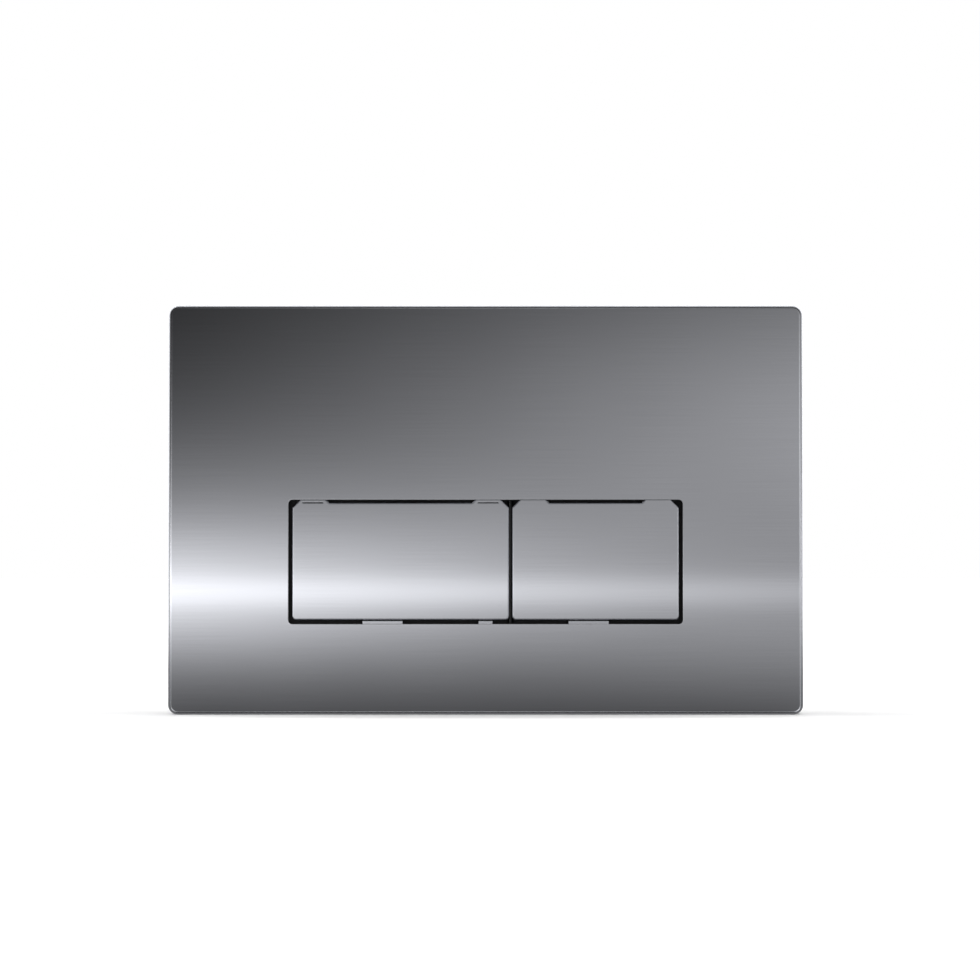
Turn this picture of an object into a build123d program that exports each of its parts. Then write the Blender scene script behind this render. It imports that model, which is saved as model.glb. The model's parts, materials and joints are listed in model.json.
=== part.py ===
from build123d import *
from collections import namedtuple
from math import cos, radians, sin, tan
import os

# Dual flush button plate for a concealed cistern. Millimetres.
# X runs to the right as seen from the room, Z is up and Y runs into the wall.
# The wall is the plane Y = 0, and the origin is the middle of the plate on that plane.

# Front plate: a pressed steel tray
plate_width = 248.0
plate_height = 160.0
plate_depth = 12.0
sheet = 1.0
corner_radius = 4.0
bend_radius = 0.5
tab_width = 16.0
tab_length = 4.0
tab_spread = 80.0
side_tab_spread = 45.0

# Opening for the buttons, and the gaps around them
opening_width = 154.0
opening_height = 48.5
opening_drop = 20.4
opening_corner = 1.6
side_gap = 1.5
middle_gap = 1.3
top_gap = 1.2
bottom_gap = 1.6

# Lugs on the lower edge of the opening
lug_spread = 40.2
lug_width = 15.6
middle_lug_width = 5.4
lug_step = 0.2
lug_gap = 0.4

# Button faces: flat steel with a pair of tongues that cover the hinge arms in the upper gap
full_button_width = 84.6
face_sheet = 1.2
button_chamfer = 1.8
button_corner = 1.4
button_edge = 0.4
tongue_width = 10.2
tongue_gap = 0.08
slit_length = 8.2
slit_width = 0.3

# Button bodies
body_inset = 0.6
body_wall = 1.6
body_floor = 2.4
body_rib = 1.4
pad_radius = 2.4
pad_height = 0.7
flange_overlap = 1.3
flange_rise = 1.6
flange_drop = 2.2
rest_gap = 0.1
buffer_width = 8.0
buffer_height = 1.8
buffer_thickness = 0.8
buffer_edge = 0.2
buffer_inset = 14.0

# Hinges
hinge_rise = 4.2
pin_radius = 1.0
pin_clearance = 0.05
knuckle_wall = 1.15
knuckle_width = 7.0
bearing_width = 3.0
bearing_inset = 3.0
side_play = 0.3
run_clearance = 0.4
press_angle = 6.4

# Carrier inside the tray
carrier_fit = 0.25
carrier_web = 2.0
carrier_wall = 1.8
tab_gap = 0.1
window_margin = 0.8
window_headroom = 1.0
collar_wall = 1.6
collar_depth = 6.0
collar_corner = 3.0
collar_room = 0.8
mullion_clearance = 0.35
mullion_bar = 1.4
mullion_lap = 0.2
web_rib = 1.4
web_rib_height = 2.4
web_rib_spread = 38.0
web_rib_margin = 20.0

# Return springs: bent strips screwed to the carrier
spring_width = 10.0
spring_thickness = 0.5
spring_lever = 20.0
spring_bend = 2.5
spring_tip = 3.0
spring_boss_radius = 3.6
spring_pad_height = 5.0
screw_radius = 1.5
screw_head_radius = 2.8
screw_head_height = 1.7
screw_length = 5.0
screw_fit = 0.05

# Mounting frame and its fixings
frame_side = 16.0
frame_bar = 13.0
frame_room = 4.6
frame_side_room = 3.8
frame_corner = 6.0
frame_wall = 2.0
frame_edge = 1.0
bolt_radius = 3.0
bolt_shoulder = 0.35
bolt_length = 55.0
bolt_flange_radius = 6.5
bolt_flange_height = 1.2
bolt_hex_size = 10.0
bolt_hex_height = 2.0
bolt_head_gap = 0.3
bolt_slot_play = 0.15
bolt_slot_length = 13.0

# Snap hooks that hold the plate on the frame
hook_spread = 70.0
hook_width = 10.0
hook_thickness = 2.2
hook_nose = 1.4
hook_ledge = 2.4
hook_play = 0.4
hook_wall_gap = 0.8

# Push rods with their heads, nuts and guides
rod_spread = 40.0
rod_drop = 28.0
rod_radius = 3.0
rod_reach = 50.0
rod_clearance = 0.06
rod_gap = 0.3
head_size = 13.0
head_sides = 8
head_height = 4.2
head_edge = 0.8
socket_depth = 2.6
guide_width = 22.0
guide_top_chamfer = 6.0
guide_plate = 3.0
guide_leg = 2.6
guide_fit = 0.2
guide_foot = 2.0
guide_foot_length = 8.5
guide_length = 15.0
guide_tube_radius = 5.5
guide_gusset = 2.0
guide_gusset_height = 9.0
guide_screw_radius = 1.25
guide_screw_head = 2.4
guide_screw_head_height = 1.0
guide_screw_length = 4.5
travel_margin = 0.4
nut_size = 10.0
nut_height = 4.0
nut_gap = 0.3
nut_chamfer = 0.6

# Depths from the wall, from the front of the plate to the back of the rods
front = -plate_depth
sheet_back = front + sheet
web_back = sheet_back + carrier_web
face_back = front + face_sheet
knuckle_radius = pin_radius + pin_clearance + knuckle_wall
hinge_y = sheet_back + run_clearance + knuckle_radius
body_back = hinge_y + knuckle_radius
body_floor_back = face_back + body_floor
collar_back = web_back + collar_depth
pad_back = body_back + pad_height
head_front = pad_back + rod_gap
head_back = head_front + head_height
bolt_head = bolt_flange_height + bolt_hex_height
frame_front = web_back + bolt_head_gap + bolt_head
flange_front = web_back + buffer_thickness + rest_gap
mullion_front = face_back

# Heights
opening_z = -opening_drop
opening_top = opening_z + opening_height / 2
opening_bottom = opening_z - opening_height / 2
button_top = opening_top - top_gap
button_bottom = opening_bottom + bottom_gap
button_z = (button_top + button_bottom) / 2
button_height = button_top - button_bottom
body_top = button_top - body_inset
hinge_z = opening_top + hinge_rise
window_top = hinge_z + knuckle_radius + window_headroom
window_bottom = opening_bottom - window_margin
tongue_top = opening_top - tongue_gap
flange_top = opening_top + flange_rise
flange_bottom = window_bottom - flange_drop
collar_bottom = flange_bottom - collar_room
collar_foot = collar_bottom - collar_wall
spring_screw_z = window_top + collar_wall + spring_boss_radius
spring_touch_z = hinge_z - spring_lever
rod_z = -rod_drop

# Widths
window_half = opening_width / 2 + window_margin
flange_half = opening_width / 2 + flange_overlap
collar_inner_half = flange_half + collar_room
collar_half = collar_inner_half + collar_wall
frame_inner_half = collar_half + frame_side_room
frame_half = frame_inner_half + frame_side
frame_inner_rise = frame_room - collar_foot
frame_rise = frame_inner_rise + frame_bar
bolt_x = frame_inner_half + frame_side / 2
hook_z = frame_inner_rise + (frame_bar - hook_nose) / 2

# The rods go back as far as a fully pressed button pushes them
press = radians(press_angle)
rod_lever = hinge_z - rod_z
rod_travel = rod_lever * tan(press)
guide_front = head_back + rod_travel + travel_margin
guide_back = guide_front + guide_length
nut_front = guide_back + nut_gap

# The flange of a pressed button comes this far back, and the mullion's bar stands behind it
flange_swing = hinge_y + (body_back - hinge_y) * cos(press) + (hinge_z - flange_bottom) * sin(press)
mullion_bar_front = flange_swing + mullion_clearance
mullion_back = mullion_bar_front + mullion_bar

# The tongues' slanted ends carry on the chamfered corners, and the knuckles stand beside the bearings
tongue_inset = button_chamfer + top_gap + tongue_width / 2
knuckle_inset = bearing_inset + bearing_width / 2 + side_play + knuckle_width / 2

# Each button: its name, the edges of its face and of its flange, where its rod stands, and
# whether a fine slit crosses the foot of its tongues
Button = namedtuple("Button", "name left right flange_left flange_right rod_x slit")
full_left = -opening_width / 2 + side_gap
full_right = full_left + full_button_width
half_left = full_right + middle_gap
half_right = opening_width / 2 - side_gap
buttons = [
    Button("full_flush", full_left, full_right, -flange_half, full_right - body_inset, -rod_spread, True),
    Button("half_flush", half_left, half_right, half_left + body_inset, flange_half, rod_spread, False),
]


def wall_plane(depth):
    """Sketch plane parallel to the wall, with X right and Z up; extruding goes to the front."""
    return Plane.XZ.offset(-depth)


def finish(part, name):
    """Label a finished piece and write its file."""
    part.label = name
    export_step(part, f"parts/{name}.step")


def faces_at(part, depth):
    """Flat faces of a piece that lie at one depth and are parallel to the wall."""
    flat = part.faces().filter_by(Axis.Y)
    return flat.filter_by(lambda face: abs(face.center().Y - depth) < 0.001)


def middle_of(button):
    return (button.left + button.right) / 2


def pair_of(button, inset):
    """Two places, the same distance in from both ends of a button."""
    return [button.left + inset, button.right - inset]


def button_sketch(button, inset):
    """Outline of a button: chamfered upper corners and rounded lower ones."""
    with BuildSketch(mode=Mode.PRIVATE) as outline:
        with Locations((middle_of(button), button_z)):
            Rectangle(button.right - button.left - 2 * inset, button_height - 2 * inset)
        chamfer(outline.vertices().group_by(Axis.Y)[-1], length=button_chamfer)
        fillet(outline.vertices().group_by(Axis.Y)[0], radius=button_corner)
    return outline.sketch


os.makedirs("parts", exist_ok=True)

# Front plate
with BuildPart() as front_plate:
    with BuildSketch(wall_plane(0)):
        RectangleRounded(plate_width, plate_height, corner_radius)
    extrude(amount=plate_depth)
    fillet(faces_at(front_plate, front).edges(), radius=bend_radius + sheet)
    with BuildSketch(wall_plane(0)):
        RectangleRounded(plate_width - 2 * sheet, plate_height - 2 * sheet, corner_radius - sheet)
    extrude(amount=plate_depth - sheet, mode=Mode.SUBTRACT)
    chamfer(faces_at(front_plate, sheet_back).edges(), length=bend_radius)
    # Tabs folded in behind the carrier
    with BuildSketch(wall_plane(0)):
        for side in (-1, 1):
            tab_z = side * (plate_height - sheet - tab_length) / 2
            with Locations((-tab_spread, tab_z), (0, tab_z), (tab_spread, tab_z)):
                Rectangle(tab_width, tab_length + sheet)
            tab_x = side * (plate_width - sheet - tab_length) / 2
            with Locations((tab_x, -side_tab_spread), (tab_x, side_tab_spread)):
                Rectangle(tab_length + sheet, tab_width)
    extrude(amount=sheet)
    # Opening for the buttons
    with BuildSketch(wall_plane(front)):
        with Locations((0, opening_z)):
            RectangleRounded(opening_width, opening_height, opening_corner)
    extrude(amount=-sheet, mode=Mode.SUBTRACT)
    # Lugs that stand up into the lower gap, a little behind the front face
    lug_bottom = opening_bottom - sheet
    lug_height = button_bottom - lug_gap - lug_bottom
    with BuildSketch(wall_plane(sheet_back)):
        with Locations((0, lug_bottom + lug_height / 2)):
            Rectangle(middle_lug_width, lug_height)
            with Locations((-lug_spread, 0), (lug_spread, 0)):
                Rectangle(lug_width, lug_height)
    extrude(amount=sheet - lug_step)
finish(front_plate.part, "front_plate")

# Carrier
carrier_width = plate_width - 2 * (sheet + carrier_fit)
carrier_height = plate_height - 2 * (sheet + carrier_fit)
carrier_corner = corner_radius - sheet
window_z = (window_top + window_bottom) / 2
collar_z = (window_top + collar_bottom) / 2
hook_back = -hook_wall_gap
with BuildPart() as carrier_frame:
    with BuildSketch(wall_plane(web_back)):
        RectangleRounded(carrier_width, carrier_height, carrier_corner)
    extrude(amount=carrier_web)
    chamfer(faces_at(carrier_frame, sheet_back).edges(), length=bend_radius + carrier_fit)
    # Outer wall that the tabs hold
    wall_back = -sheet - tab_gap
    with BuildSketch(wall_plane(wall_back)):
        RectangleRounded(carrier_width, carrier_height, carrier_corner)
        inner_width = carrier_width - 2 * carrier_wall
        inner_height = carrier_height - 2 * carrier_wall
        Rectangle(inner_width, inner_height, mode=Mode.SUBTRACT)
    extrude(amount=wall_back - web_back)
    # Collar around the buttons
    with BuildSketch(wall_plane(collar_back)):
        with Locations((0, collar_z)):
            RectangleRounded(
                2 * collar_half, window_top - collar_bottom + 2 * collar_wall, collar_corner
            )
            Rectangle(2 * collar_inner_half, window_top - collar_bottom, mode=Mode.SUBTRACT)
    extrude(amount=collar_depth)
    # Stiffening ribs above the collar
    rib_bottom = window_top + collar_wall / 2
    rib_top = plate_height / 2 - web_rib_margin
    with BuildSketch(wall_plane(web_back + web_rib_height)):
        with Locations((0, (rib_bottom + rib_top) / 2)):
            for column in (-2, -1, 0, 1, 2):
                with Locations((column * web_rib_spread, 0)):
                    Rectangle(web_rib, rib_top - rib_bottom)
        with Locations((0, rib_top)):
            Rectangle(4 * web_rib_spread + web_rib, web_rib)
    extrude(amount=web_rib_height)
    # Window that the buttons move in
    with BuildSketch(wall_plane(web_back)):
        with Locations((0, window_z)):
            Rectangle(2 * window_half, window_top - window_bottom)
    extrude(amount=carrier_web, mode=Mode.SUBTRACT)
    # Mullion that closes the view between the buttons: a blade in the gap, a wider bar at its back
    mullion_x = (full_right + half_left) / 2
    mullion_height = window_top - collar_bottom + collar_wall
    with BuildSketch(wall_plane(mullion_back)):
        with Locations((mullion_x, collar_z)):
            Rectangle(middle_gap - 2 * mullion_clearance, mullion_height)
    extrude(amount=mullion_back - mullion_front)
    with BuildSketch(wall_plane(mullion_back)):
        with Locations((mullion_x, collar_z)):
            Rectangle(middle_gap + 2 * (body_inset + mullion_lap), mullion_height)
    extrude(amount=mullion_bar)
    # Bearings for the hinge pins, hanging from the top of the collar
    for button in buttons:
        for bearing_x in pair_of(button, bearing_inset):
            with BuildSketch(Plane.YZ.offset(bearing_x - bearing_width / 2)):
                with Locations((hinge_y, hinge_z)):
                    Circle(knuckle_radius)
                block_top = window_top + collar_wall / 2
                with Locations((hinge_y, (hinge_z + block_top) / 2)):
                    Rectangle(2 * knuckle_radius, block_top - hinge_z)
                with Locations((hinge_y, hinge_z)):
                    Circle(pin_radius + pin_clearance, mode=Mode.SUBTRACT)
            extrude(amount=bearing_width)
        # Boss for the spring's screw
        with BuildSketch(wall_plane(collar_back)):
            with Locations((middle_of(button), spring_screw_z)):
                Circle(spring_boss_radius)
                with Locations((0, -spring_boss_radius / 2)):
                    Rectangle(2 * spring_boss_radius, spring_boss_radius)
        extrude(amount=collar_depth)
        with BuildSketch(wall_plane(collar_back)):
            with Locations((middle_of(button), spring_screw_z)):
                Circle(screw_radius + screw_fit)
        extrude(amount=screw_length + screw_fit, mode=Mode.SUBTRACT)
    # Snap hooks, upper and lower
    nose_front = frame_front + hook_ledge + hook_play / 2
    for side in (-1, 1):
        with BuildSketch(wall_plane(hook_back)):
            with Locations((-hook_spread, side * hook_z), (hook_spread, side * hook_z)):
                Rectangle(hook_width, hook_thickness)
        extrude(amount=hook_back - web_back)
        nose_z = side * (hook_z + hook_nose / 2)
        with BuildSketch(wall_plane(hook_back)):
            with Locations((-hook_spread, nose_z), (hook_spread, nose_z)):
                Rectangle(hook_width, hook_thickness + hook_nose)
        extrude(amount=hook_back - nose_front)
finish(carrier_frame.part, "carrier_frame")

# Mounting frame
frame_depth = -frame_front
guide_foot_bottom = -frame_inner_rise - guide_foot_length
guide_screw_z = -frame_inner_rise - guide_foot_length / 2
shoulder_radius = bolt_radius + bolt_shoulder
with BuildPart() as mounting_frame:
    with BuildSketch(wall_plane(0)):
        RectangleRounded(2 * frame_half, 2 * frame_rise, frame_corner)
        Rectangle(2 * frame_inner_half, 2 * frame_inner_rise, mode=Mode.SUBTRACT)
    extrude(amount=frame_depth)
    chamfer(faces_at(mounting_frame, frame_front)[0].outer_wire().edges(), length=frame_edge)
    # Hollow back: pockets in the upper bar and the sides, with ribs left between them
    pocket_length = (2 * hook_spread - hook_width - 2 * hook_play - 4 * frame_wall) / 3
    pocket_rise = frame_inner_rise / 2 - bolt_slot_length / 4 - frame_wall
    with BuildSketch(wall_plane(0)):
        with Locations((0, frame_inner_rise + frame_bar / 2)):
            with GridLocations(pocket_length + frame_wall, 0, 3, 1):
                Rectangle(pocket_length, frame_bar - 2 * frame_wall)
        side_z = (frame_inner_rise + bolt_slot_length / 2) / 2
        with GridLocations(2 * bolt_x, 2 * side_z, 2, 2):
            Rectangle(frame_side - 2 * frame_wall, 2 * pocket_rise - 2 * frame_wall)
        with Locations((0, -frame_inner_rise - frame_bar / 2)):
            Rectangle(2 * rod_spread - guide_width - 2 * frame_wall, frame_bar - 2 * frame_wall)
    extrude(amount=frame_depth - frame_wall, mode=Mode.SUBTRACT)
    # Slots for the fixing bolts
    with BuildSketch(wall_plane(0)):
        with Locations((-bolt_x, 0), (bolt_x, 0)):
            SlotOverall(bolt_slot_length, 2 * (shoulder_radius + bolt_slot_play), rotation=90)
    extrude(amount=frame_depth, mode=Mode.SUBTRACT)
    # Windows for the snap hooks, wider behind the ledge that the noses catch
    for side in (-1, 1):
        window_height = hook_thickness + 2 * hook_play
        with BuildSketch(wall_plane(0)):
            with Locations((-hook_spread, side * hook_z), (hook_spread, side * hook_z)):
                Rectangle(hook_width + 2 * hook_play, window_height)
        extrude(amount=frame_depth, mode=Mode.SUBTRACT)
        catch_z = side * (hook_z + hook_nose / 2)
        with BuildSketch(wall_plane(0)):
            with Locations((-hook_spread, catch_z), (hook_spread, catch_z)):
                Rectangle(hook_width + 2 * hook_play, window_height + hook_nose)
        extrude(amount=frame_depth - hook_ledge, mode=Mode.SUBTRACT)
    # Screw holes for the rod guides
    with BuildSketch(wall_plane(frame_front)):
        for button in buttons:
            with Locations((button.rod_x, guide_screw_z)):
                Circle(guide_screw_radius + screw_fit)
    extrude(amount=-guide_screw_length, mode=Mode.SUBTRACT)
finish(mounting_frame.part, "mounting_frame")

# Fixing bolts: threaded beyond the wall, a plain shoulder in the frame, flanged hexagon heads
with BuildPart() as fixing_bolts:
    with BuildSketch(wall_plane(bolt_length)):
        with Locations((-bolt_x, 0), (bolt_x, 0)):
            Circle(bolt_radius)
    extrude(amount=bolt_length)
    with BuildSketch(wall_plane(0)):
        with Locations((-bolt_x, 0), (bolt_x, 0)):
            Circle(shoulder_radius)
    extrude(amount=frame_depth)
    with BuildSketch(wall_plane(frame_front)):
        with Locations((-bolt_x, 0), (bolt_x, 0)):
            Circle(bolt_flange_radius)
    extrude(amount=bolt_flange_height)
    with BuildSketch(wall_plane(frame_front - bolt_flange_height)):
        with Locations((-bolt_x, 0), (bolt_x, 0)):
            RegularPolygon(bolt_hex_size / 2, 6, major_radius=False)
    extrude(amount=bolt_hex_height)
finish(fixing_bolts.part, "fixing_bolts")

# Rubber pads behind the lower edge of the window
with BuildPart() as stop_buffers:
    with BuildSketch(wall_plane(web_back + buffer_thickness)):
        for button in buttons:
            for buffer_x in pair_of(button, buffer_inset):
                with Locations((buffer_x, flange_bottom + buffer_height / 2)):
                    Rectangle(buffer_width, buffer_height)
    extrude(amount=buffer_thickness)
    chamfer(faces_at(stop_buffers, web_back + buffer_thickness).edges(), length=buffer_edge)
finish(stop_buffers.part, "stop_buffers")

# Screws of the return springs
spring_back = collar_back + spring_thickness
with BuildPart() as spring_screws:
    for button in buttons:
        with BuildSketch(wall_plane(spring_back)):
            with Locations((middle_of(button), spring_screw_z)):
                Circle(screw_radius)
        extrude(amount=screw_length)
        with BuildSketch(wall_plane(spring_back + screw_head_height)):
            with Locations((middle_of(button), spring_screw_z)):
                Circle(screw_head_radius)
        extrude(amount=screw_head_height)
finish(spring_screws.part, "spring_screws")

# Screws of the rod guides, one for each; the guide's leg keeps it from turning
guide_foot_front = frame_front - guide_foot
with BuildPart() as guide_screws:
    for button in buttons:
        with BuildSketch(wall_plane(frame_front + guide_screw_length)):
            with Locations((button.rod_x, guide_screw_z)):
                Circle(guide_screw_radius)
        extrude(amount=guide_screw_length + guide_foot)
        with BuildSketch(wall_plane(guide_foot_front)):
            with Locations((button.rod_x, guide_screw_z)):
                Circle(guide_screw_head)
        extrude(amount=guide_screw_head_height)
finish(guide_screws.part, "guide_screws")

# Pieces that each button has
for button in buttons:
    name = button.name
    rod_x = button.rod_x
    middle = middle_of(button)

    # Steel face, whose tongues' slanted ends carry on the chamfered corners
    with BuildPart() as face:
        with BuildSketch(wall_plane(face_back)):
            add(button_sketch(button, 0))
            for tongue_x in pair_of(button, tongue_inset):
                foot = tongue_width / 2 + top_gap
                tip = tongue_width / 2 + tongue_gap
                with BuildLine():
                    Polyline(
                        (tongue_x - foot, button_top),
                        (tongue_x + foot, button_top),
                        (tongue_x + tip, tongue_top),
                        (tongue_x - tip, tongue_top),
                        close=True,
                    )
                make_face()
        extrude(amount=face_sheet)
        # All front edges are eased but the tips of the tongues
        rim = faces_at(face, front).edges().filter_by(lambda edge: edge.center().Z < tongue_top - tongue_gap)
        chamfer(rim, length=button_edge)
        if button.slit:
            with BuildSketch(wall_plane(front)):
                for tongue_x in pair_of(button, tongue_inset):
                    with Locations((tongue_x, button_top)):
                        Rectangle(slit_length, slit_width)
            extrude(amount=-face_sheet, mode=Mode.SUBTRACT)
    finish(face.part, f"{name}_face")

    # Moulded body
    with BuildPart() as body:
        with BuildSketch(wall_plane(body_back)):
            add(button_sketch(button, body_inset))
        extrude(amount=body_back - face_back)
        # Flange behind the plate, which closes the gaps and rests against the rubber pads
        with BuildSketch(wall_plane(body_back)):
            with Locations(
                ((button.flange_left + button.flange_right) / 2, (flange_top + flange_bottom) / 2)
            ):
                Rectangle(button.flange_right - button.flange_left, flange_top - flange_bottom)
        extrude(amount=body_back - flange_front)
        with BuildSketch(wall_plane(body_back)):
            add(button_sketch(button, body_inset + body_wall))
        extrude(amount=body_back - body_floor_back, mode=Mode.SUBTRACT)
        # Ribs across the hollow back, and the rest for the spring
        with BuildSketch(wall_plane(body_back)):
            with Locations((middle, button_z)):
                Rectangle(button.right - button.left - 2 * body_inset - body_wall, body_rib)
                with GridLocations((button.right - button.left) / 3, 0, 2, 1):
                    Rectangle(body_rib, button_height - 2 * body_inset - body_wall)
            with Locations((middle, spring_touch_z)):
                Rectangle(spring_width + 2 * body_rib, spring_pad_height)
            with Locations((middle, (body_top + spring_touch_z) / 2)):
                Rectangle(body_rib, body_top - spring_touch_z)
        extrude(amount=body_back - body_floor_back)
        # Pad that presses the rod
        with BuildSketch(wall_plane(pad_back)):
            with Locations((rod_x, rod_z)):
                Circle(pad_radius)
        extrude(amount=pad_back - body_floor_back)
        # Arms and knuckles of the hinge
        arm_front = sheet_back + run_clearance
        arm_bottom = body_top - body_wall
        with BuildSketch(wall_plane(body_back)):
            for knuckle_x in pair_of(button, knuckle_inset):
                with Locations((knuckle_x, (arm_bottom + hinge_z) / 2)):
                    Rectangle(knuckle_width, hinge_z - arm_bottom)
        extrude(amount=body_back - arm_front)
        for knuckle_x in pair_of(button, knuckle_inset):
            with BuildSketch(Plane.YZ.offset(knuckle_x - knuckle_width / 2)):
                with Locations((hinge_y, hinge_z)):
                    Circle(knuckle_radius)
            extrude(amount=knuckle_width)
            with BuildSketch(Plane.YZ.offset(knuckle_x - knuckle_width / 2)):
                with Locations((hinge_y, hinge_z)):
                    Circle(pin_radius + pin_clearance)
            extrude(amount=knuckle_width, mode=Mode.SUBTRACT)
    finish(body.part, f"{name}_body")

    # Hinge pin
    first_bearing, last_bearing = pair_of(button, bearing_inset)
    with BuildPart() as hinge_pin:
        with BuildSketch(Plane.YZ.offset(first_bearing - bearing_width / 2)):
            with Locations((hinge_y, hinge_z)):
                Circle(pin_radius)
        extrude(amount=last_bearing - first_bearing + bearing_width)
    finish(hinge_pin.part, f"{name}_hinge_pin")

    # Return spring: a strip that runs down behind the hinge and bears on the body
    strip_y = collar_back + spring_thickness / 2
    touch_y = body_back + rest_gap + spring_thickness / 2
    with BuildPart() as spring:
        with BuildLine(Plane.YZ.offset(middle)) as strip_path:
            FilletPolyline(
                (strip_y, spring_screw_z + spring_boss_radius),
                (strip_y, window_top),
                (touch_y, spring_touch_z),
                (touch_y + spring_tip, spring_touch_z - spring_tip),
                radius=spring_bend,
            )
        strip_start = Plane(strip_path.line @ 0, x_dir=(1, 0, 0), z_dir=strip_path.line % 0)
        with BuildSketch(strip_start):
            Rectangle(spring_width, spring_thickness)
        sweep()
        with BuildSketch(wall_plane(spring_back)):
            with Locations((middle, spring_screw_z)):
                Circle(screw_radius + screw_fit)
        extrude(amount=spring_thickness, mode=Mode.SUBTRACT)
    finish(spring.part, f"{name}_return_spring")

    # Push rod
    rod_front = head_back - socket_depth
    with BuildPart() as rod:
        with BuildSketch(wall_plane(rod_reach)):
            with Locations((rod_x, rod_z)):
                Circle(rod_radius)
        extrude(amount=rod_reach - rod_front)
    finish(rod.part, f"{name}_rod")

    # Many-sided cap that is screwed by hand on to the front end of the rod
    with BuildPart() as head:
        with BuildSketch(wall_plane(head_back)):
            with Locations((rod_x, rod_z)):
                RegularPolygon(head_size / 2, head_sides, major_radius=False)
        extrude(amount=head_height)
        chamfer(faces_at(head, head_front).edges(), length=head_edge)
        with BuildSketch(wall_plane(head_back)):
            with Locations((rod_x, rod_z)):
                Circle(rod_radius + rod_clearance)
        extrude(amount=socket_depth, mode=Mode.SUBTRACT)
    finish(head.part, f"{name}_rod_head")

    # Stop nut behind the guide
    with BuildPart() as nut:
        with BuildSketch(wall_plane(nut_front + nut_height)):
            with Locations((rod_x, rod_z)):
                RegularPolygon(nut_size / 2, 6, major_radius=False)
        extrude(amount=nut_height)
        chamfer(nut.edges().filter_by(Axis.Y, reverse=True), length=nut_chamfer)
        with BuildSketch(wall_plane(nut_front + nut_height)):
            with Locations((rod_x, rod_z)):
                Circle(rod_radius + rod_clearance)
        extrude(amount=nut_height, mode=Mode.SUBTRACT)
    finish(nut.part, f"{name}_rod_nut")

    # Rod guide: a foot on the frame, a leg past its edge, and an upright with the tube
    leg_bottom = -frame_inner_rise + guide_fit
    leg_top = leg_bottom + guide_leg
    guide_top = rod_z + guide_width / 2
    with BuildPart() as guide:
        with BuildSketch(Plane.YZ.offset(rod_x - guide_width / 2)):
            with BuildLine():
                Polyline(
                    (guide_foot_front, guide_foot_bottom),
                    (frame_front, guide_foot_bottom),
                    (frame_front, leg_bottom),
                    (guide_front + guide_plate, leg_bottom),
                    (guide_front + guide_plate, guide_top),
                    (guide_front, guide_top),
                    (guide_front, leg_top),
                    (guide_foot_front, leg_top),
                    close=True,
                )
            make_face()
        extrude(amount=guide_width)
        # Gussets at both sides, in front of the upright
        for gusset_x in (rod_x - guide_width / 2, rod_x + guide_width / 2 - guide_gusset):
            with BuildSketch(Plane.YZ.offset(gusset_x)):
                with BuildLine():
                    Polyline(
                        (collar_back + run_clearance, leg_top),
                        (guide_front, leg_top),
                        (guide_front, leg_top + guide_gusset_height),
                        close=True,
                    )
                make_face()
            extrude(amount=guide_gusset)
        # Cut upper corners, and the tube
        top_corners = guide.edges().filter_by(Axis.Y).group_by(Axis.Z)[-1]
        chamfer(top_corners, length=guide_top_chamfer)
        with BuildSketch(wall_plane(guide_back)):
            with Locations((rod_x, rod_z)):
                Circle(guide_tube_radius)
        extrude(amount=guide_length)
        with BuildSketch(wall_plane(guide_back)):
            with Locations((rod_x, rod_z)):
                Circle(rod_radius + rod_clearance)
        extrude(amount=guide_length, mode=Mode.SUBTRACT)
        # Screw hole in the foot
        with BuildSketch(wall_plane(frame_front)):
            with Locations((rod_x, guide_screw_z)):
                Circle(guide_screw_radius + screw_fit)
        extrude(amount=guide_foot, mode=Mode.SUBTRACT)
    finish(guide.part, f"{name}_rod_guide")
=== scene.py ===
# %% [markdown]
# A flush button plate for a concealed cistern: brushed steel in front, moulded plastic, push rods and
# small steel pieces behind it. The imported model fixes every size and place, in metres, so the first step
# only loads it. The rest of the lesson gives each piece its finish, models the fasteners and springs
# that are plain in the CAD model, and builds a small photo studio around the plate.

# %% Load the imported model
import json
from math import pi, radians, sqrt, tan

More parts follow.
